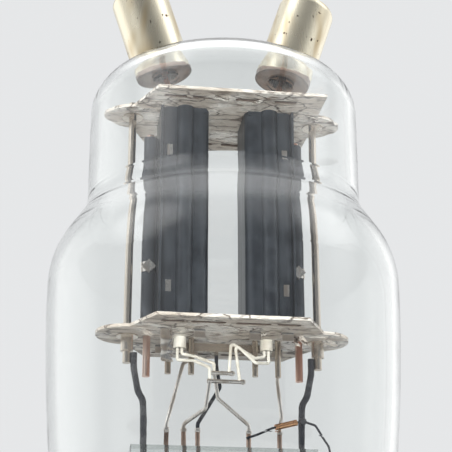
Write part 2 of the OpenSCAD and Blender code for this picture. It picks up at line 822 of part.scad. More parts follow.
// Wire from one rod of a grid to the stem; it leaves the rod at the height leave_z
module grid_lead(side, rod, leave_z, middle) {
    x = side * (triode_x + rod * grid_rod_x);
    y = grid_rod_d / 2 + fine_r;
    color("#cfd0cf") wire([
        [x, y, cathode_end_z - 0.4],
        [x, y, leave_z],
        [side * middle[0], middle[1], middle[2]],
        [side * grid_wire_x, 0, weld_z + 0.8],
        [side * grid_wire_x, 0, weld_z]
    ], fine_r, 0.5);
}

module heater_bar_upper() {
    color("#c9cac8") bar([-1.4, front_leg_y, upper_bar_z], [0.8, front_leg_y, upper_bar_z], bar_r);
}

module heater_bar_lower() {
    color("#c9cac8") bar([-1.9, rear_leg_y, lower_bar_z], [1.9, rear_leg_y, lower_bar_z], bar_r);
}

module heater_lead_upper() {
    color("#dadad6") difference() {
        wire([
            [-1.1, front_leg_y, upper_bar_z],
            [-0.6, front_leg_y + 0.35, upper_bar_z - 2.7],
            [inner_wire_x, 0, weld_z + 0.9],
            [inner_wire_x, 0, weld_z]
        ], fine_r, 0.5);
        heater_bar_upper();
    }
}

module heater_lead_lower() {
    color("#dadad6") difference() {
        wire([
            [-1.6, rear_leg_y, lower_bar_z],
            [-2, rear_leg_y + 0.2, weld_z + 2.3],
            [lower_wire_x, 0, weld_z + 0.8],
            [lower_wire_x, 0, weld_z]
        ], fine_r, 0.5);
        heater_bar_lower();
    }
}

function bond_points() = [
    [support_x + bead_x, bond_y, bead_z],
    [bond_mid_x, bond_y - 0.3, press_top + bond_mid_h],
    [inner_wire_x + 0.9, bond_end_y, press_top + bond_end_h + 0.4],
    [inner_wire_x - 0.3, bond_end_y, press_top + bond_end_h]
];

// Thin wire from the right support to the first stem wire, with a bead and a free tail
module bond_wire() {
    color("#54504a") difference() {
        union() {
            wire(bond_points(), bond_r, 0.4);
            wire([
                [support_x + bead_x, bond_y, bead_z],
                [support_x + 0.44 * tail_out, bond_y, bead_z - 0.09 * tail_drop],
                [support_x + 0.88 * tail_out, bond_y, bead_z - 0.57 * tail_drop],
                [support_x + tail_out, bond_y, bead_z - tail_drop]
            ], bond_r, 0.4);
            translate([support_x + bead_x, bond_y + 0.15, bead_z]) sphere(r = drop_r);
        }
        support_wire(RIGHT);
    }
}

// Copper sleeve on the thick end of the bond wire
module bond_sleeve() {
    a = bond_points()[0];
    b = bond_points()[1];
    color("#d08a52") difference() {
        bar(a + 0.2 * (b - a), a + 0.9 * (b - a), sleeve_r);
        bar(a, b, bond_r);
    }
}

module base_pin_1() base_pin(1);
module base_pin_2() base_pin(2);
module base_pin_3() base_pin(3);
module base_pin_4() base_pin(4);
module base_pin_5() base_pin(5);
module base_pin_6() base_pin(6);
module base_pin_7() base_pin(7);

base_shell();
base_cement();
base_pin_1();
base_pin_2();
base_pin_3();
base_pin_4();
base_pin_5();
base_pin_6();
base_pin_7();
glass_bulb();
glass_stem();
exhaust_tube();
anode_cap(LEFT);  // anode_cap_left
anode_cap(RIGHT);  // anode_cap_right
cap_cement(LEFT);  // cap_cement_left
cap_cement(RIGHT);  // cap_cement_right
cap_solder(LEFT);  // cap_solder_left
cap_solder(RIGHT);  // cap_solder_right
color("#b56f52") anode_lead(LEFT);  // anode_lead_left
color("#b56f52") anode_lead(RIGHT);  // anode_lead_right
mica_upper();
mica_lower();
eyelet(LEFT, upper_z, 0);  // eyelet_upper_left
eyelet(RIGHT, upper_z, 0);  // eyelet_upper_right
eyelet(LEFT, under_z, eyelet_drop);  // eyelet_lower_left
eyelet(RIGHT, under_z, eyelet_drop);  // eyelet_lower_right
anode(LEFT);  // anode_left
anode(RIGHT);  // anode_right
anode_rod(LEFT);  // anode_rod_left
anode_rod(RIGHT);  // anode_rod_right
anode_clips();
grid(LEFT);  // grid_left
grid(RIGHT);  // grid_right
cathode(LEFT);  // cathode_left
cathode(RIGHT);  // cathode_right
heater(LEFT);  // heater_left
heater(RIGHT);  // heater_right
cathode_strap();
cathode_lead();
grid_lead(LEFT, -1, left_leave_z, left_middle);  // grid_lead_left
grid_lead(RIGHT, 1, right_leave_z, right_middle);  // grid_lead_right
heater_bar_upper();
heater_bar_lower();
heater_lead_upper();
heater_lead_lower();
support_rod(LEFT);  // support_rod_left
support_rod(RIGHT);  // support_rod_right
support_wire(LEFT);  // support_wire_left
support_wire(RIGHT);  // support_wire_right
bond_wire();
bond_sleeve();
stem_wire_1();
stem_wire_3();
stem_wire_4();
stem_wire_5();
stem_wire_7();
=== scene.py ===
"""Twin triode tube: finishes, small trim pieces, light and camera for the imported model."""

import json
import logging
import math
from collections.abc import Callable
from dataclasses import dataclass
from enum import Enum

import bmesh
import bpy
from mathutils import Matrix, Vector


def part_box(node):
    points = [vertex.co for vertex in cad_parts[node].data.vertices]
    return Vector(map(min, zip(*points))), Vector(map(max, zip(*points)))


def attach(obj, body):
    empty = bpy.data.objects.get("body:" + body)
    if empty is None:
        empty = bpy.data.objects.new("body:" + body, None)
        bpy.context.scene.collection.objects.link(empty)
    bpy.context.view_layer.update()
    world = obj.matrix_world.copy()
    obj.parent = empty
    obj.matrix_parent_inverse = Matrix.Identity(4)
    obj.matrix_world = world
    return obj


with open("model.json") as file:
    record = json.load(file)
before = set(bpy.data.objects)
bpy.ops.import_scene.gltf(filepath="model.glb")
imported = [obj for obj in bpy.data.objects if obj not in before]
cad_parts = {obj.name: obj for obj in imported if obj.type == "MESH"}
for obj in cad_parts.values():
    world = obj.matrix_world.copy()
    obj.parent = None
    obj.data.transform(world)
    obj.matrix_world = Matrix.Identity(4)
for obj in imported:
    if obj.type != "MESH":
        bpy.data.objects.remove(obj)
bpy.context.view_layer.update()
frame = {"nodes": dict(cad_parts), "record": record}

LOG = logging.getLogger("tube")
MM = 0.001
NEUTRAL = (0.5, 0.5, 0.5)
Colour = tuple[float, float, float]
Point = tuple[float, float, float]
Span = tuple[float, float]
Socket = bpy.types.NodeSocket


class Pattern(Enum):
    """Kinds of surface pattern, with the noise detail of each."""

    FINE = 6.0
    SOFT = 2.0
    COARSE = 3.5


@dataclass(frozen=True)
class Noise:
    """How a tone is spread.

    It has the noise's scale per metre, the values where the tone starts and is full, the kind of
    pattern, and the stretch along X, Y and Z.
    """

    scale: float
    span: Span = (0.3, 0.7)
    pattern: Pattern = Pattern.FINE
    stretch: Point | None = None


def rgba(colour: Colour) -> tuple[float, float, float, float]:
    """Returns the colour with full opacity."""
    return (*colour, 1.0)


class Blotch:
    """The shared node group that spreads one tone over another."""

    name: str = "blotch"

    @classmethod
    def group(cls) -> bpy.types.NodeTree:
        """Builds the group on its first use.

        Returns:
            The node tree with a tone mixed by noise, and its mask and height.
        """
        found = bpy.data.node_groups.get(cls.name)
        if found:
            return found
        tree = bpy.data.node_groups.new(cls.name, "ShaderNodeTree")
        face = tree.interface
        for label, kind, value in (
            ("Vector", "NodeSocketVector", None),
            ("Base", "NodeSocketColor", (0.5, 0.5, 0.5, 1.0)),
            ("Tone", "NodeSocketColor", (0.4, 0.4, 0.4, 1.0)),
            ("Scale", "NodeSocketFloat", 600.0),
            ("Detail", "NodeSocketFloat", 4.0),
            ("Low", "NodeSocketFloat", 0.4),
            ("High", "NodeSocketFloat", 0.7),
        ):
            socket = face.new_socket(label, in_out="INPUT", socket_type=kind)
            if value is not None:
                socket.default_value = value
        face.new_socket("Color", in_out="OUTPUT", socket_type="NodeSocketColor")
        face.new_socket("Mask", in_out="OUTPUT", socket_type="NodeSocketFloat")
        face.new_socket("Height", in_out="OUTPUT", socket_type="NodeSocketFloat")
        nodes, links = tree.nodes, tree.links
        given = nodes.new("NodeGroupInput")
        made = nodes.new("NodeGroupOutput")
        noise = nodes.new("ShaderNodeTexNoise")
        noise.inputs["Roughness"].default_value = 0.6
        span = nodes.new("ShaderNodeMapRange")
        span.interpolation_type = "SMOOTHSTEP"
        mix = nodes.new("ShaderNodeMix")
        mix.data_type = "RGBA"
        links.new(given.outputs["Vector"], noise.inputs["Vector"])
        links.new(given.outputs["Scale"], noise.inputs["Scale"])
        links.new(given.outputs["Detail"], noise.inputs["Detail"])
        links.new(noise.outputs["Fac"], span.inputs["Value"])
        links.new(given.outputs["Low"], span.inputs["From Min"])
        links.new(given.outputs["High"], span.inputs["From Max"])
        links.new(span.outputs["Result"], mix.inputs["Factor"])
        links.new(given.outputs["Base"], mix.inputs["A"])
        links.new(given.outputs["Tone"], mix.inputs["B"])
        links.new(mix.outputs["Result"], made.inputs["Color"])
        links.new(span.outputs["Result"], made.inputs["Mask"])
        links.new(noise.outputs["Fac"], made.inputs["Height"])
        return tree


class Crack:
    """The shared node group that draws fine cracks, as in split sheet or dry cement."""

    name: str = "crack"

    @classmethod
    def group(cls) -> bpy.types.NodeTree:
        """Builds the group on its first use.

        Returns:
            The node tree with a mask that is 1 in the cracks.
        """
        found = bpy.data.node_groups.get(cls.name)
        if found:
            return found
        tree = bpy.data.node_groups.new(cls.name, "ShaderNodeTree")
        face = tree.interface
        face.new_socket("Vector", in_out="INPUT", socket_type="NodeSocketVector")
        for label, value in (("Scale", 400.0), ("Warp", 0.001), ("Width", 0.05)):
            socket = face.new_socket(label, in_out="INPUT", socket_type="NodeSocketFloat")
            socket.default_value = value
        face.new_socket("Mask", in_out="OUTPUT", socket_type="NodeSocketFloat")
        nodes, links = tree.nodes, tree.links
        given = nodes.new("NodeGroupInput")
        made = nodes.new("NodeGroupOutput")
        noise = nodes.new("ShaderNodeTexNoise")
        noise.inputs["Detail"].default_value = 5.0
        shift = nodes.new("ShaderNodeVectorMath")
        shift.operation = "SUBTRACT"
        shift.inputs[1].default_value = NEUTRAL
        push = nodes.new("ShaderNodeVectorMath")
        push.operation = "SCALE"
        moved = nodes.new("ShaderNodeVectorMath")
        cells = nodes.new("ShaderNodeTexVoronoi")
        cells.feature = "DISTANCE_TO_EDGE"
        span = nodes.new("ShaderNodeMapRange")
        span.interpolation_type = "SMOOTHSTEP"
        span.inputs["To Min"].default_value = 1.0
        span.inputs["To Max"].default_value = 0.0
        links.new(given.outputs["Vector"], noise.inputs["Vector"])
        links.new(given.outputs["Scale"], noise.inputs["Scale"])
        links.new(noise.outputs["Color"], shift.inputs[0])
        links.new(shift.outputs["Vector"], push.inputs[0])
        links.new(given.outputs["Warp"], push.inputs["Scale"])
        links.new(given.outputs["Vector"], moved.inputs[0])
        links.new(push.outputs["Vector"], moved.inputs[1])
        links.new(moved.outputs["Vector"], cells.inputs["Vector"])
        links.new(given.outputs["Scale"], cells.inputs["Scale"])
        links.new(cells.outputs["Distance"], span.inputs["Value"])
        links.new(given.outputs["Width"], span.inputs["From Max"])
        links.new(span.outputs["Result"], made.inputs["Mask"])
        return tree


class Board:
    """A material under construction, with short calls for its nodes."""

    def __init__(self, name: str) -> None:
        """Starts a material with one Principled shader.

        Args:
            name: The name of the material.
        """
        self.material = bpy.data.materials.new(name)
        self.material.use_nodes = True
        self.nodes = self.material.node_tree.nodes
        self.links = self.material.node_tree.links
        self.shader = self.nodes["Principled BSDF"]
        self.output = self.nodes["Material Output"]
        self.place = self.nodes.new("ShaderNodeTexCoord").outputs["Object"]

    def set(self, **values: float | tuple[float, ...]) -> None:
        """Sets plain values on the shader; an underscore stands for a space."""
        for key, value in values.items():
            self.shader.inputs[key.replace("_", " ")].default_value = value

    def stretched(self, scale: Point | None) -> Socket:
        """Scales object coordinates by axis.

        Args:
            scale: The scale along X, Y and Z, or None to leave them.

        Returns:
            The coordinates' socket.
        """
        if scale is None:
            return self.place
        node = self.nodes.new("ShaderNodeMapping")
        node.inputs["Scale"].default_value = scale
        self.links.new(self.place, node.inputs["Vector"])
        return node.outputs["Vector"]

    def blotch(self, base: Colour | Socket, tone: Colour, noise: Noise) -> bpy.types.Node:
        """Places the shared blotch group.

        Args:
            base: The colour below, or the socket that gives it.
            tone: The colour spread over it.
            noise: How it is spread.

        Returns:
            The group's node.
        """
        node = self.nodes.new("ShaderNodeGroup")
        node.node_tree = Blotch.group()
        self.links.new(self.stretched(noise.stretch), node.inputs["Vector"])
        if isinstance(base, Socket):
            self.links.new(base, node.inputs["Base"])
        else:
            node.inputs["Base"].default_value = rgba(base)
        node.inputs["Tone"].default_value = rgba(tone)
        node.inputs["Scale"].default_value = noise.scale
        node.inputs["Detail"].default_value = noise.pattern.value
        node.inputs["Low"].default_value = noise.span[0]
        node.inputs["High"].default_value = noise.span[1]
        return node

    def crack(self, scale: float, warp: float, width: float, stretch: Point | None) -> Socket:
        """Places the shared crack group.

        Args:
            scale: The number of cells per metre.
            warp: How far in metres the cracks wander.
            width: The width of a crack, as a share of a cell.
            stretch: The stretch along X, Y and Z, or None.

        Returns:
            The mask's socket.
        """
        node = self.nodes.new("ShaderNodeGroup")
        node.node_tree = Crack.group()
        self.links.new(self.stretched(stretch), node.inputs["Vector"])
        node.inputs["Scale"].default_value = scale
        node.inputs["Warp"].default_value = warp
        node.inputs["Width"].default_value = width
        return node.outputs["Mask"]

    def joined(self, operation: str, first: Socket, second: Socket) -> Socket:
        """Joins two masks.

        Args:
            operation: The name of the math operation.
            first: The first mask.
            second: The second mask.

        Returns:
            The new mask's socket.
        """
        node = self.nodes.new("ShaderNodeMath")
        node.operation = operation
        self.links.new(first, node.inputs[0])
        self.links.new(second, node.inputs[1])
        return node.outputs[0]

    def larger(self, first: Socket, second: Socket) -> Socket:
        """Returns the larger of two masks."""
        return self.joined("MAXIMUM", first, second)

    def product(self, first: Socket, second: Socket) -> Socket:
        """Returns the product of two masks."""
        return self.joined("MULTIPLY", first, second)

    def within(self, value: Socket, limit: float) -> Socket:
        """Makes a mask that is 1 where a value is near 0.

        Args:
            value: The value's socket.
            limit: How far from 0 the value may be.

        Returns:
            The mask's socket.
        """
        node = self.nodes.new("ShaderNodeMath")
        node.operation = "COMPARE"
        node.inputs[1].default_value = 0.0
        node.inputs[2].default_value = limit
        self.links.new(value, node.inputs[0])
        return node.outputs[0]

    def slot_wall_shade(self, reach: float) -> Socket:
        """Masks the upright cut edges near a plate's middle, such as slot walls, for painted
        shade.

        Args:
            reach: The half width in millimetres of the square that holds them.

        Returns:
            The mask's socket.
        """
        upright = 0.5
        normal = self.nodes.new("ShaderNodeSeparateXYZ")
        self.links.new(self.nodes.new("ShaderNodeTexCoord").outputs["Normal"], normal.inputs[0])
        place = self.nodes.new("ShaderNodeSeparateXYZ")
        self.links.new(self.place, place.inputs[0])
        mask = self.within(normal.outputs[2], upright)
        for axis in (0, 1):
            mask = self.product(mask, self.within(place.outputs[axis], reach * MM))
        return mask

    def ball(self, centre: Point, radius: float) -> Socket:
        """Makes a mask that is 1 inside a ball with a ragged skin.

        Args:
            centre: The ball's centre in millimetres.
            radius: Its radius in millimetres.

        Returns:
            The mask's socket.
        """
        rag, soft, grain = 1.2, 0.15, 700.0
        away = self.nodes.new("ShaderNodeVectorMath")
        away.operation = "DISTANCE"
        away.inputs[1].default_value = Vector(centre) * MM
        self.links.new(self.place, away.inputs[0])
        noise = self.nodes.new("ShaderNodeTexNoise")
        noise.inputs["Scale"].default_value = grain
        self.links.new(self.place, noise.inputs["Vector"])
        ragged = self.nodes.new("ShaderNodeMath")
        ragged.operation = "MULTIPLY_ADD"
        ragged.inputs[1].default_value = rag * MM
        self.links.new(noise.outputs["Fac"], ragged.inputs[0])
        self.links.new(away.outputs["Value"], ragged.inputs[2])
        span = self.nodes.new("ShaderNodeMapRange")
        span.inputs["From Min"].default_value = (radius + rag / 2 + soft) * MM
        span.inputs["From Max"].default_value = (radius + rag / 2) * MM
        self.links.new(ragged.outputs[0], span.inputs["Value"])
        return span.outputs["Result"]

    def band(self, axis: int, start: float, end: float) -> Socket:
        """Makes a mask that rises along one axis of the object.

        Args:
            axis: 0, 1 or 2 for X, Y or Z.
            start: The place in metres where the mask is 0.
            end: The place in metres where the mask is 1.

        Returns:
            The mask's socket.
        """
        split = self.nodes.new("ShaderNodeSeparateXYZ")
        self.links.new(self.place, split.inputs["Vector"])
        span = self.nodes.new("ShaderNodeMapRange")
        span.interpolation_type = "SMOOTHSTEP"
        span.inputs["From Min"].default_value = start
        span.inputs["From Max"].default_value = end
        self.links.new(split.outputs[axis], span.inputs["Value"])
        return span.outputs["Result"]

    def over(self, base: Socket, tone: Colour, mask: Socket) -> Socket:
        """Lays a tone over a colour.

        Args:
            base: The colour below.
            tone: The tone.
            mask: Where the tone lies.

        Returns:
            The new colour's socket.
        """
        mix = self.nodes.new("ShaderNodeMix")
        mix.data_type = "RGBA"
        self.links.new(mask, mix.inputs["Factor"])
        self.links.new(base, mix.inputs["A"])
        mix.inputs["B"].default_value = rgba(tone)
        return mix.outputs["Result"]

    def colour(self, socket: Socket) -> None:
        """Leads a colour to the shader."""
        self.links.new(socket, self.shader.inputs["Base Color"])

    def spread(self, key: str, mask: Socket, low: float, high: float) -> None:
        """Spreads one of the shader's values between two values by a mask.

        Args:
            key: The name of the shader's value.
            mask: The mask, from 0 to 1.
            low: The value where the mask is 0.
            high: The value where the mask is 1.
        """
        span = self.nodes.new("ShaderNodeMapRange")
        span.inputs["To Min"].default_value = low
        span.inputs["To Max"].default_value = high
        self.links.new(mask, span.inputs["Value"])
        self.links.new(span.outputs["Result"], self.shader.inputs[key])

    def bump(self, height: Socket, depth: float) -> None:
        """Adds relief to the surface.

        Args:
            height: The height pattern, from 0 to 1.
            depth: The full depth of the relief in metres.
        """
        node = self.nodes.new("ShaderNodeBump")
        node.inputs["Distance"].default_value = depth
        node.inputs["Strength"].default_value = 1.0
        self.links.new(height, node.inputs["Height"])
        self.links.new(node.outputs["Normal"], self.shader.inputs["Normal"])

    def grain(self, noise: Noise, depth: float) -> None:
        """Adds relief from noise, whose full depth is given in metres."""
        self.bump(self.blotch(NEUTRAL, NEUTRAL, noise).outputs["Height"], depth)


@dataclass(frozen=True)
class DullPatch:
    """A dull dark patch on a metal skin: its colour, and the ball in millimetres that holds it."""

    colour: Colour
    centre: Point
    radius: float


@dataclass(frozen=True)
class Metal:
    """Bare or plated metal with tarnish and a drawn grain, and maybe specks or a dull patch."""

    name: str
    colour: Colour
    tarnish: Colour
    rough: Span
    span: Span = (0.42, 0.72)
    scale: float = 260.0
    relief: float = 0.00001
    finer: float = 14.0
    stretch: Point = (1.0, 1.0, 0.25)
    speck: Colour | None = None
    specks: Noise = Noise(1500.0, (0.68, 0.71), Pattern.SOFT)
    dull_patch: DullPatch | None = None

    def material(self) -> bpy.types.Material:
        """Builds the material.

        Returns:
            The material.
        """
        board = Board(self.name)
        board.set(Metallic=1.0)
        drawn = Noise(self.scale, self.span, Pattern.SOFT, self.stretch)
        stain = board.blotch(self.colour, self.tarnish, drawn)
        skin = stain.outputs["Color"]
        if self.speck:
            skin = board.blotch(skin, self.speck, self.specks).outputs["Color"]
        if self.dull_patch:
            # Inside the ball the skin is darker brown and not metallic.
            near = board.ball(self.dull_patch.centre, self.dull_patch.radius)
            skin = board.over(skin, self.dull_patch.colour, near)
            board.spread("Metallic", near, 1.0, 0.0)
        board.colour(skin)
        board.spread("Roughness", stain.outputs["Mask"], *self.rough)
        board.grain(Noise(self.scale * self.finer, stretch=self.stretch), self.relief)
        return board.material


@dataclass(frozen=True)
class Matte:
    """A dull solid such as cement, coating or moulded resin."""

    name: str
    colour: Colour
    tone: Colour
    rough: Span
    span: Span = (0.35, 0.7)
    scale: float = 500.0
    relief: float = 0.00003
    finer: float = 5.0
    coat: float = 0.0
    coat_rough: float = 0.15

    def material(self) -> bpy.types.Material:
        """Builds the material.

        Returns:
            The material.
        """
        board = Board(self.name)
        board.set(Coat_Weight=self.coat, Coat_Roughness=self.coat_rough)
        spots = board.blotch(self.colour, self.tone, Noise(self.scale, self.span))
        board.colour(spots.outputs["Color"])
        board.spread("Roughness", spots.outputs["Mask"], *self.rough)
        board.grain(Noise(self.scale * self.finer), self.relief)
        return board.material


@dataclass(frozen=True)
class Carbon:
    """Blackened anode sheet whose tabs, past the mica plates, are bare metal.

    The fade says within how many millimetres of a plate the black gives way.
    """

    name: str
    colour: Colour
    tone: Colour
    bare: Colour
    rough: Span = (0.34, 0.5)
    metal: Span = (0.5, 1.0)
    soot: Noise = Noise(420.0, (0.35, 0.7))
    streak: Noise = Noise(900.0, (0.45, 0.75), Pattern.SOFT, (1.0, 1.0, 0.04))
    fine: Noise = Noise(2600.0)
    relief: float = 0.00002
    fade: float = 0.3

    def material(self) -> bpy.types.Material:
        """Builds the material.

        Returns:
            The material.
        """
        board = Board(self.name)
        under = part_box("mica_lower")[0][2]
        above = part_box("mica_upper")[1][2]
        fade = self.fade * MM
        soot = board.blotch(self.colour, self.tone, self.soot)
        streaks = board.blotch(soot.outputs["Color"], self.tone, self.streak)
        ends = board.larger(board.band(2, under, under - fade), board.band(2, above, above + fade))
        board.colour(board.over(streaks.outputs["Color"], self.bare, ends))
        board.spread("Metallic", ends, *self.metal)
        board.spread("Roughness", streaks.outputs["Mask"], *self.rough)
        board.grain(self.fine, self.relief)
        return board.material


@dataclass(frozen=True)
class Oxidised:
    """Nickel wire and ribbon, blackened by heat up to a little below the lower mica plate.

    The fade says how far below it, in millimetres, the black ends and the metal is bare.
    """

    name: str
    colour: Colour
    tone: Colour
    bare: Colour
    rough: Span = (0.16, 0.34)
    metal: Span = (0.5, 0.9)
    spots: Noise = Noise(500.0, (0.35, 0.7))
    fine: Noise = Noise(2500.0)
    relief: float = 0.00003
    fade: Span = (1.7, 1.25)

    def material(self) -> bpy.types.Material:
        """Builds the material.

        Returns:
            The material.
        """
        board = Board(self.name)
        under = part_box("mica_lower")[0][2]
        spots = board.blotch(self.colour, self.tone, self.spots)
        clear = board.band(2, under - self.fade[0] * MM, under - self.fade[1] * MM)
        board.colour(board.over(spots.outputs["Color"], self.bare, clear))
        board.spread("Metallic", clear, *self.metal)
        board.spread("Roughness", spots.outputs["Mask"], *self.rough)
        board.grain(self.fine, self.relief)
        return board.material


@dataclass(frozen=True)
class Glass:
    """Clear blown or pressed glass with a faint wave in its skin."""

    name: str
    tint: Colour
    index: float = 1.5
    wave: float = 0.00002
    scale: float = 90.0
    lamp_share: float = 0.92
    density: float = 80.0
    body: Colour = (0.36, 0.41, 0.41)

    def material(self) -> bpy.types.Material:
        """Builds the material, which lets most of the lamps' light through.

        Returns:
            The material.
        """
        board = Board(self.name)
        board.set(
            Base_Color=rgba(self.tint), Roughness=0.0, IOR=self.index, Transmission_Weight=1.0
        )
        board.grain(Noise(self.scale, pattern=Pattern.SOFT), self.wave)
        clear = board.nodes.new("ShaderNodeBsdfTransparent")
        clear.inputs["Color"].default_value = rgba(self.tint)
        path = board.nodes.new("ShaderNodeLightPath")
        share = board.nodes.new("ShaderNodeMath")
        share.operation = "MULTIPLY"
        share.inputs[1].default_value = self.lamp_share
        mix = board.nodes.new("ShaderNodeMixShader")
        board.links.new(path.outputs["Is Shadow Ray"], share.inputs[0])
        board.links.new(share.outputs[0], mix.inputs["Fac"])
        board.links.new(board.shader.outputs["BSDF"], mix.inputs[1])
        board.links.new(clear.outputs["BSDF"], mix.inputs[2])
        board.links.new(mix.outputs["Shader"], board.output.inputs["Surface"])
        bulk = board.nodes.new("ShaderNodeVolumeAbsorption")
        bulk.inputs["Color"].default_value = rgba(self.body)
        bulk.inputs["Density"].default_value = self.density
        board.links.new(bulk.outputs["Volume"], board.output.inputs["Volume"])
        return board.material


@dataclass(frozen=True)
class Mica:
    """Split mica sheet: cream, cloudy, flaked, partly clear, with painted shade on slot walls."""

    name: str
    colour: Colour
    cloud: Colour
    fleck: Colour
    # Colour of the splits, and also of the painted shade on the slot walls.
    split: Colour
    rough: Span = (0.2, 0.5)
    clear: float = 0.2
    index: float = 1.56
    # Half width in millimetres of the middle square whose slot walls get painted shade.
    inside: float = 7.8
    relief: float = 0.00012
    clouds: Noise = Noise(420.0, (0.40, 0.58), Pattern.COARSE, (0.45, 1.0, 4.0))
    flecks: Noise = Noise(1500.0, (0.51, 0.64), Pattern.FINE, (0.35, 1.0, 9.0))
    torn: Noise = Noise(260.0, (0.40, 0.53), Pattern.COARSE)
    cells: float = 620.0
    wander: float = 0.0018
    gap: float = 0.08
    long: Point = (0.5, 1.0, 1.0)

    def splits(self, board: Board) -> Socket:
        """Makes the mask of the splits, which lie only in the torn parts.

        Args:
            board: The material under construction.

        Returns:
            The mask's socket.
        """
        torn = board.blotch(self.colour, self.cloud, self.torn)
        lines = board.crack(self.cells, self.wander, self.gap, self.long)
        return board.product(lines, torn.outputs["Mask"])

    def material(self) -> bpy.types.Material:
        """Builds the material.

        Returns:
            The material.
        """
        board = Board(self.name)
        board.set(Transmission_Weight=self.clear, IOR=self.index)
        cloud = board.blotch(self.colour, self.cloud, self.clouds)
        fleck = board.blotch(cloud.outputs["Color"], self.fleck, self.flecks)
        # Real splits, plus painted shade in the split colour on the upright slot walls near the
        # middle.
        splits_and_slot_shade = board.larger(self.splits(board), board.slot_wall_shade(self.inside))
        board.colour(board.over(fleck.outputs["Color"], self.split, splits_and_slot_shade))
        board.spread("Roughness", cloud.outputs["Mask"], *self.rough)
        board.bump(fleck.outputs["Height"], self.relief)
        return board.material


class Finishes:
    """All finishes by the record's slot names."""

    table: dict[str, Metal | Matte | Carbon | Oxidised | Glass | Mica] = {
        finish.name: finish
        for finish in (
            Matte(
                "moulded_plastic", (0.030, 0.016, 0.011), (0.044, 0.024, 0.016), (0.26, 0.36),
                scale=1400.0, relief=0.000006, coat=0.2,
            ),
            Metal("pin_metal", (0.70, 0.65, 0.52), (0.42, 0.36, 0.26), (0.2, 0.42)),
            Metal(
                "cap_metal", (0.82, 0.76, 0.60), (0.55, 0.44, 0.27), (0.26, 0.42),
                span=(0.5, 0.72), scale=330.0, stretch=(1.0, 1.0, 0.2),
                speck=(0.07, 0.045, 0.03),
                # Inside this ball, low on the caps, the skin is darker brown and not metallic.
                dull_patch=DullPatch((0.16, 0.105, 0.078), (0.0, 0.0, 67.9), 30.8),
            ),
            Glass("bulb_glass", (0.975, 0.985, 0.98), 1.48, 0.00003),
            Glass("stem_glass", (0.93, 0.965, 0.955), 1.52, 0.00008, 240.0),
            Matte("base_cement", (0.36, 0.29, 0.2), (0.25, 0.19, 0.12), (0.75, 0.92)),
            Matte("cap_cement", (0.27, 0.17, 0.12), (0.15, 0.09, 0.065), (0.6, 0.85), scale=700.0),
            Metal("solder", (0.60, 0.60, 0.58), (0.34, 0.33, 0.31), (0.28, 0.5)),
            # The last colour is that of the splits and of the painted shade on the slot walls.
            Mica(
                "mica", (0.93, 0.87, 0.80), (0.68, 0.60, 0.52), (0.34, 0.27, 0.22),
                (0.12, 0.085, 0.065),
            ),
            Carbon(
                "anode_carbon", (0.026, 0.029, 0.035), (0.056, 0.062, 0.072), (0.72, 0.66, 0.61)
            ),
            Metal(
                "copper_rod", (0.95, 0.72, 0.62), (0.66, 0.36, 0.27), (0.3, 0.5),
                span=(0.46, 0.6), scale=900.0, stretch=(1.0, 1.0, 0.12),
            ),
            Metal(
                "bright_nickel", (0.92, 0.88, 0.84), (0.60, 0.53, 0.47), (0.24, 0.44),
                scale=700.0,
            ),
            Metal("dull_nickel", (0.72, 0.65, 0.57), (0.42, 0.34, 0.27), (0.2, 0.42)),
            Oxidised(
                "dark_metal", (0.020, 0.021, 0.027), (0.060, 0.060, 0.064), (0.46, 0.40, 0.34)
            ),
            Matte("white_coating", (0.62, 0.59, 0.53), (0.42, 0.38, 0.32), (0.75, 0.95)),
            Metal("copper_sleeve", (0.92, 0.52, 0.28), (0.5, 0.24, 0.12), (0.2, 0.4)),
            Metal("stem_metal", (0.48, 0.34, 0.27), (0.2, 0.13, 0.1), (0.35, 0.6)),
        )
    }

    def __init__(self) -> None:
        """Builds each material once."""
        self.made = {slot: finish.material() for slot, finish in self.table.items()}

    def dress(self, piece: bpy.types.Object, slot: str) -> None:
        """Gives a piece the finish of a slot, and nothing else."""
        piece.data.materials.clear()
        piece.data.materials.append(self.made[slot])


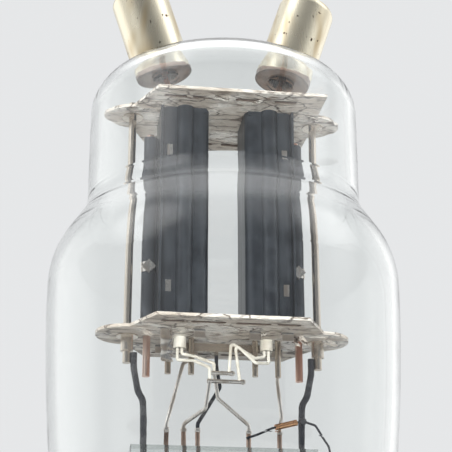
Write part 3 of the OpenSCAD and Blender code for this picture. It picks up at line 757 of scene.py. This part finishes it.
class Bench:
    """Short calls for shaping a mesh by hand with the operators.

    Edges that turn by more than the crisp angle, in degrees, stay sharp.
    """

    crisp: float = 40.0

    @staticmethod
    def clear() -> None:
        """Leaves edit mode and deselects everything."""
        if bpy.context.mode != "OBJECT":
            bpy.ops.object.mode_set(mode="OBJECT")
        bpy.ops.object.select_all(action="DESELECT")

    @staticmethod
    def edit() -> bpy.types.Object:
        """Enters edit mode on the active piece, with all of it selected.

        Returns:
            The piece.
        """
        bpy.ops.object.mode_set(mode="EDIT")
        bpy.ops.mesh.select_mode(type="VERT")
        bpy.ops.mesh.select_all(action="SELECT")
        return bpy.context.object

    @staticmethod
    def pick(piece: bpy.types.Object, rule: Callable[[Vector], bool]) -> None:
        """Selects vertices in edit mode by their place in the world.

        Args:
            piece: The piece in edit mode.
            rule: Tells from a place in metres whether a vertex is taken.
        """
        bpy.ops.mesh.select_all(action="DESELECT")
        mesh = bmesh.from_edit_mesh(piece.data)
        for vert in mesh.verts:
            vert.select_set(rule(piece.matrix_world @ vert.co))
        mesh.select_flush(True)
        bmesh.update_edit_mesh(piece.data)

    @staticmethod
    def turn(degrees: float, axis: str, centre: Vector) -> None:
        """Turns the selection about an axis through a point in metres."""
        bpy.ops.transform.rotate(
            value=math.radians(degrees), orient_axis=axis, center_override=tuple(centre)
        )

    @staticmethod
    def solid(piece: bpy.types.Object, sheet: float, soften: int = 0) -> None:
        """Gives a sheet its thickness, and rounds it if asked.

        Args:
            piece: The active piece.
            sheet: The thickness in metres.
            soften: The levels of subdivision.
        """
        bpy.ops.object.mode_set(mode="OBJECT")
        wall = piece.modifiers.new("wall", "SOLIDIFY")
        wall.thickness = sheet
        wall.offset = 0.0
        bpy.ops.object.modifier_apply(modifier="wall")
        if soften:
            smooth = piece.modifiers.new("smooth", "SUBSURF")
            smooth.levels = smooth.render_levels = soften
            bpy.ops.object.modifier_apply(modifier="smooth")

    @classmethod
    def finish(
        cls, parts: list[bpy.types.Object], name: str, slot: str, finishes: Finishes
    ) -> None:
        """Joins the parts of one piece, and gives it its place, body and finish.

        Args:
            parts: The parts, all shaped.
            name: The piece's name.
            slot: The record's slot of its finish.
            finishes: The built finishes.
        """
        cls.clear()
        for part in parts:
            part.select_set(True)
        piece = parts[0]
        bpy.context.view_layer.objects.active = piece
        if len(parts) > 1:
            bpy.ops.object.join()
        bpy.ops.object.transform_apply(location=True, rotation=True, scale=True)
        bpy.ops.object.shade_smooth_by_angle(angle=math.radians(cls.crisp))
        piece.name = name
        finishes.dress(piece, slot)
        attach(piece, "root")
        LOG.info("%s: %d faces", name, len(piece.data.polygons))


@dataclass(frozen=True)
class Lamp:
    """A softbox: its name, centre and size in metres, power in watts and spread in degrees."""

    name: str
    place: Point
    size: tuple[float, float]
    watts: float
    spread: float = 180.0


@dataclass(frozen=True)
class Glow:
    """A soft round patch that only reflections show.

    It has a direction, the angles in degrees where it is full and where it ends, and a level.
    """

    toward: Point
    narrow: float
    wide: float
    level: float = 0.0


@dataclass
class Studio:
    """Camera, lamps, world and floor, in metres and degrees; the lens is in millimetres."""

    azimuth: float = -8.0
    elevation: float = -21.0
    distance: float = 0.152
    lens: float = 109.0
    near: float = 0.005
    target: Point = (0.0003, 0.0, 0.0784)
    pale: Colour = (0.79, 0.80, 0.81)
    ambient: Colour = (0.62, 0.63, 0.64)
    shade: Colour = (0.16, 0.165, 0.175)
    shaded: Glow = Glow((0.0, -1.0, -0.25), 20.0, 75.0)
    glows: tuple[Glow, ...] = (
        Glow((0.0, 0.25, 1.0), 6.0, 44.0, 1.5),
        Glow((-0.8, -0.35, 0.75), 6.0, 26.0, 2.2),
        Glow((0.85, -0.25, 0.7), 6.0, 26.0, 2.0),
        Glow((-0.85, 0.5, 0.2), 4.0, 34.0, 1.4),
        Glow((0.85, 0.5, 0.2), 4.0, 34.0, 1.25),
    )
    lamps: tuple[Lamp, ...] = (
        Lamp("top_box", (0.03, -0.02, 0.40), (0.30, 0.24), 0.7),
        Lamp("front_box", (-0.02, -0.26, 0.03), (0.20, 0.05), 0.17, 50.0),
        Lamp("left_box", (-0.24, -0.18, 0.06), (0.10, 0.14), 0.09, 60.0),
    )
    floor_sides: int = 96
    floor_radius: float = 0.6
    floor_colours: tuple[Colour, Colour] = ((0.74, 0.74, 0.73), (0.71, 0.71, 0.70))
    floor_noise: Noise = Noise(9.0, pattern=Pattern.SOFT)
    floor_rough: float = 0.8

    @staticmethod
    def direction(azimuth: float, elevation: float) -> Vector:
        """Returns the unit vector from the object to a place seen at these angles in degrees."""
        a, e = math.radians(azimuth), math.radians(elevation)
        return Vector((math.sin(a) * math.cos(e), -math.cos(a) * math.cos(e), math.sin(e)))

    def camera(self) -> None:
        """Places the camera at the photograph's viewing angle."""
        data = bpy.data.cameras.new("view")
        data.lens = self.lens
        data.clip_start = self.near
        camera = bpy.data.objects.new("view", data)
        back = self.direction(self.azimuth, self.elevation)
        camera.location = Vector(self.target) + back * self.distance
        camera.rotation_mode = "QUATERNION"
        camera.rotation_quaternion = (-back).to_track_quat("-Z", "Y")
        bpy.context.scene.collection.objects.link(camera)
        bpy.context.scene.camera = camera
        LOG.info("camera: %.0f mm away", self.distance / MM)

    def lamp(self, box: Lamp) -> None:
        """Adds a softbox that faces the tube.

        Args:
            box: The lamp's values.
        """
        data = bpy.data.lights.new(box.name, "AREA")
        data.shape = "RECTANGLE"
        data.size, data.size_y = box.size
        data.energy = box.watts
        data.spread = math.radians(box.spread)
        lamp = bpy.data.objects.new(box.name, data)
        lamp.location = box.place
        aim = Vector(self.target) - Vector(box.place)
        lamp.rotation_mode = "QUATERNION"
        lamp.rotation_quaternion = aim.to_track_quat("-Z", "Y")
        lamp.visible_camera = False
        lamp.visible_glossy = False
        lamp.visible_transmission = False
        bpy.context.scene.collection.objects.link(lamp)
        LOG.info("%s: %.2f W", box.name, box.watts)

    @staticmethod
    def patch(tree: bpy.types.NodeTree, glow: Glow) -> Socket:
        """Makes the mask of a soft round patch in the world.

        Args:
            tree: The world's node tree.
            glow: The patch's values.

        Returns:
            The mask's socket.
        """
        nodes, links = tree.nodes, tree.links
        place = nodes.new("ShaderNodeTexCoord")
        dot = nodes.new("ShaderNodeVectorMath")
        dot.operation = "DOT_PRODUCT"
        dot.inputs[1].default_value = Vector(glow.toward).normalized()
        span = nodes.new("ShaderNodeMapRange")
        span.interpolation_type = "SMOOTHERSTEP"
        span.inputs["From Min"].default_value = math.cos(math.radians(glow.wide))
        span.inputs["From Max"].default_value = math.cos(math.radians(glow.narrow))
        links.new(place.outputs["Generated"], dot.inputs[0])
        links.new(dot.outputs["Value"], span.inputs["Value"])
        return span.outputs["Result"]

    @staticmethod
    def mixed(
        tree: bpy.types.NodeTree, mask: Socket, below: Socket | Colour, above: Socket | Colour
    ) -> Socket:
        """Mixes two colours of the world.

        Args:
            tree: The world's node tree.
            mask: The mask, from 0 to 1.
            below: The colour where the mask is 0.
            above: The colour where the mask is 1.

        Returns:
            The new colour's socket.
        """
        mix = tree.nodes.new("ShaderNodeMix")
        mix.data_type = "RGBA"
        tree.links.new(mask, mix.inputs["Factor"])
        for key, value in (("A", below), ("B", above)):
            if isinstance(value, Socket):
                tree.links.new(value, mix.inputs[key])
            else:
                mix.inputs[key].default_value = rgba(value)
        return mix.outputs["Result"]

    def world(self) -> None:
        """Gives the world a pale backdrop, a plain soft light and soft reflections."""
        world = bpy.data.worlds.new("studio")
        world.use_nodes = True
        tree = world.node_tree
        back = tree.nodes["Background"]
        back.inputs["Strength"].default_value = 1.0
        path = tree.nodes.new("ShaderNodeLightPath")
        mirror = self.mixed(tree, self.patch(tree, self.shaded), self.pale, self.shade)
        for glow in self.glows:
            mirror = self.mixed(tree, self.patch(tree, glow), mirror, (glow.level,) * 3)
        seen = tree.nodes.new("ShaderNodeMath")
        seen.operation = "MAXIMUM"
        tree.links.new(path.outputs["Is Camera Ray"], seen.inputs[0])
        tree.links.new(path.outputs["Is Transmission Ray"], seen.inputs[1])
        plain = self.mixed(tree, seen.outputs[0], self.ambient, self.pale)
        both = self.mixed(tree, path.outputs["Is Glossy Ray"], plain, mirror)
        tree.links.new(both, back.inputs["Color"])
        bpy.context.scene.world = world
        LOG.info("world: %d soft patches", len(self.glows))

    def floor(self) -> None:
        """Lays a plain pale floor under the pins."""
        Bench.clear()
        bpy.ops.mesh.primitive_circle_add(
            vertices=self.floor_sides, radius=self.floor_radius, fill_type="NGON"
        )
        plate = bpy.context.object
        plate.name = "floor"
        board = Board("floor")
        spots = board.blotch(*self.floor_colours, self.floor_noise)
        board.colour(spots.outputs["Color"])
        board.set(Roughness=self.floor_rough)
        plate.data.materials.append(board.material)
        LOG.info("floor: %.1f m across", 2 * self.floor_radius)

    def build(self) -> None:
        """Sets up the whole studio."""
        self.camera()
        self.world()
        self.floor()
        for box in self.lamps:
            self.lamp(box)
        bpy.context.scene.view_settings.view_transform = "Standard"


@dataclass
class Dressing:
    """Puts the finish of its slot on every carried-over node."""

    finishes: Finishes

    def build(self) -> None:
        """Dresses the nodes."""
        slots = {row["node"]: row["material_slot"] for row in frame["record"]["subparts"]}
        for name, piece in frame["nodes"].items():
            self.finishes.dress(piece, slots[name])
            LOG.info("%s: %s", name, slots[name])


@dataclass(frozen=True)
class Crease:
    """One bend of a crumpled strip: its place along it, its shift and its twist."""

    share: float
    across: float
    forward: float
    twist: float


@dataclass
class TabEnd:
    """The long crumpled end of the left anode's outer front tab, in millimetres."""

    x: float = -6.45
    y: float = -3.47
    width: float = 1.25
    sheet: float = 0.1
    length: float = 3.7
    clearance: float = 0.02
    rows: int = 12
    reach: float = 0.9
    creases: tuple[Crease, ...] = (
        Crease(0.16, 0.03, -0.05, 6.0),
        Crease(0.34, -0.05, -0.24, -10.0),
        Crease(0.5, 0.02, -0.02, 12.0),
        Crease(0.67, 0.09, -0.26, -8.0),
        Crease(0.84, 0.04, -0.10, 14.0),
        Crease(1.0, 0.12, -0.30, -6.0),
    )

    def build(self, finishes: Finishes) -> None:
        """Models the strip and dresses it.

        Args:
            finishes: The built finishes.
        """
        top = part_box("mica_lower")[0][2] - self.clearance * MM
        middle = Vector((self.x * MM, self.y * MM, top - self.length * MM / 2))
        Bench.clear()
        bpy.ops.mesh.primitive_plane_add(
            size=MM, location=middle, rotation=(math.radians(90), 0, 0)
        )
        strip = Bench.edit()
        bpy.ops.transform.resize(
            value=(self.width, 1.0, self.length), center_override=tuple(middle)
        )
        bpy.ops.mesh.subdivide(number_cuts=self.rows - 1)
        step = self.length * MM / self.rows
        for crease in self.creases:
            level = top - crease.share * self.length * MM
            centre = Vector((middle.x, middle.y, level))
            Bench.pick(strip, lambda at, level=level: abs(at.z - level) < self.reach * step)
            bpy.ops.transform.translate(value=(crease.across * MM, crease.forward * MM, 0))
            Bench.turn(crease.twist, "Z", centre)
        Bench.solid(strip, self.sheet * MM, soften=1)
        Bench.finish([strip], "anode_tab_end", "bright_nickel", finishes)


@dataclass(frozen=True)
class Flake:
    """One split layer: its place, half length, half width, turn in degrees and lift."""

    x: float
    y: float
    long: float
    wide: float
    turn: float
    lift: float


@dataclass
class Splinters:
    """Thin layers that have split from a mica plate and curl off its underside, in millimetres."""

    plate: str
    flakes: tuple[Flake, ...]
    sheet: float = 0.03
    corners: int = 14
    cuts: int = 2
    ragged: float = 0.35
    seed: int = 31
    seed_step: int = 7
    bends: Point = (0.1, 0.4, 0.7)

    def layer(self, flake: Flake, height: float) -> bpy.types.Object:
        """Models one layer: a ragged oval, flat, and bent down in steps towards one end.

        Args:
            flake: The layer's sizes.
            height: The height of the plate's underside in metres.

        Returns:
            The layer.
        """
        centre = Vector((flake.x * MM, flake.y * MM, height - self.sheet * MM))
        way = Matrix.Rotation(math.radians(flake.turn), 3, "Z") @ Vector((1, 0, 0))
        Bench.clear()
        bpy.ops.mesh.primitive_circle_add(
            vertices=self.corners, radius=MM, fill_type="TRIFAN", location=centre,
            rotation=(0, 0, math.radians(flake.turn)),
        )
        sheet = Bench.edit()
        bpy.ops.transform.resize(
            value=(flake.long, flake.wide, 1.0), orient_type="LOCAL", center_override=tuple(centre)
        )
        seed = int(self.seed + self.seed_step * flake.x)
        bpy.ops.mesh.subdivide(
            number_cuts=self.cuts, fractal=self.ragged * flake.wide, seed=seed
        )
        bpy.ops.transform.resize(value=(1.0, 1.0, 0.0), center_override=tuple(centre))
        for share in self.bends:
            edge = share * flake.long * MM
            Bench.pick(sheet, lambda at, edge=edge: (at - centre).dot(way) > edge)
            bpy.ops.transform.translate(value=(0, 0, -flake.lift * MM / len(self.bends)))
        Bench.solid(sheet, self.sheet * MM)
        return sheet

    def build(self, finishes: Finishes) -> None:
        """Models the layers and dresses them.

        Args:
            finishes: The built finishes.
        """
        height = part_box(self.plate)[0][2]
        layers = [self.layer(flake, height) for flake in self.flakes]
        Bench.finish(layers, f"{self.plate}_splinters", "mica", finishes)


@dataclass
class WeldBeads:
    """Small nuggets where the wires are welded to the bars and to each other, in millimetres."""

    radius: float = 0.3
    levels: int = 3
    squash: Point = (1.15, 0.85, 0.95)
    flat_from: float = 0.6
    pressed: Point = (0.9, 0.2, 0.9)
    places: tuple[Point, ...] = (
        (0.8, -0.8, 61.3), (-1.1, -0.8, 61.3), (1.9, -1.2, 60.3), (-1.6, -1.2, 60.3),
        (-6.0, -0.05, 55.3), (-4.2, -0.05, 55.3), (-2.7, -0.05, 55.3), (2.7, -0.05, 55.3),
        (6.0, -0.05, 55.3),
    )

    def bead(self, place: Point) -> bpy.types.Object:
        """Models one nugget, flattened in front by the electrode.

        Args:
            place: The nugget's centre.

        Returns:
            The nugget.
        """
        centre = Vector(place) * MM
        Bench.clear()
        bpy.ops.mesh.primitive_ico_sphere_add(
            subdivisions=self.levels, radius=self.radius * MM, location=centre
        )
        nugget = Bench.edit()
        bpy.ops.transform.resize(value=self.squash, center_override=tuple(centre))
        front = centre.y - self.flat_from * self.radius * MM
        Bench.pick(nugget, lambda at: at.y < front)
        bpy.ops.transform.resize(value=self.pressed, center_override=(centre.x, front, centre.z))
        bpy.ops.object.mode_set(mode="OBJECT")
        return nugget

    def build(self, finishes: Finishes) -> None:
        """Models the nuggets and dresses them.

        Args:
            finishes: The built finishes.
        """
        beads = [self.bead(place) for place in self.places]
        Bench.finish(beads, "weld_beads", "bright_nickel", finishes)


LOWER_FLAKES = (
    Flake(-8.9, -2.6, 1.5, 0.5, 28.0, 0.5),
    Flake(-8.3, -1.6, 0.9, 0.4, 200.0, 0.45),
    Flake(-4.6, -3.9, 1.1, 0.45, -15.0, 0.35),
    Flake(0.4, -4.6, 1.6, 0.5, 8.0, 0.3),
    Flake(4.5, -3.6, 1.2, 0.4, 165.0, 0.4),
    Flake(7.3, -1.5, 1.1, 0.5, -60.0, 1.1),
    Flake(7.9, -2.6, 1.0, 0.45, 30.0, 0.8),
    Flake(10.6, -1.6, 1.7, 0.7, 10.0, 0.55),
    Flake(-1.6, 3.8, 1.7, 0.6, 20.0, 0.6),
    Flake(3.4, 4.6, 1.2, 0.5, 190.0, 0.5),
)
UPPER_FLAKES = (
    Flake(-8.7, -2.4, 1.3, 0.5, 215.0, 0.4),
    Flake(-2.0, -6.6, 1.8, 0.5, 5.0, 0.3),
    Flake(3.6, -6.4, 1.4, 0.45, 172.0, 0.35),
    Flake(9.2, -2.8, 1.3, 0.5, -30.0, 0.5),
)


def main() -> None:
    """Builds the scene, sub-assembly by sub-assembly."""
    logging.basicConfig(level=logging.INFO, format="%(message)s")
    Studio().build()
    finishes = Finishes()
    Dressing(finishes).build()
    TabEnd().build(finishes)
    Splinters("mica_lower", LOWER_FLAKES).build(finishes)
    Splinters("mica_upper", UPPER_FLAKES).build(finishes)
    WeldBeads().build(finishes)


if __name__ == "__main__":
    main()
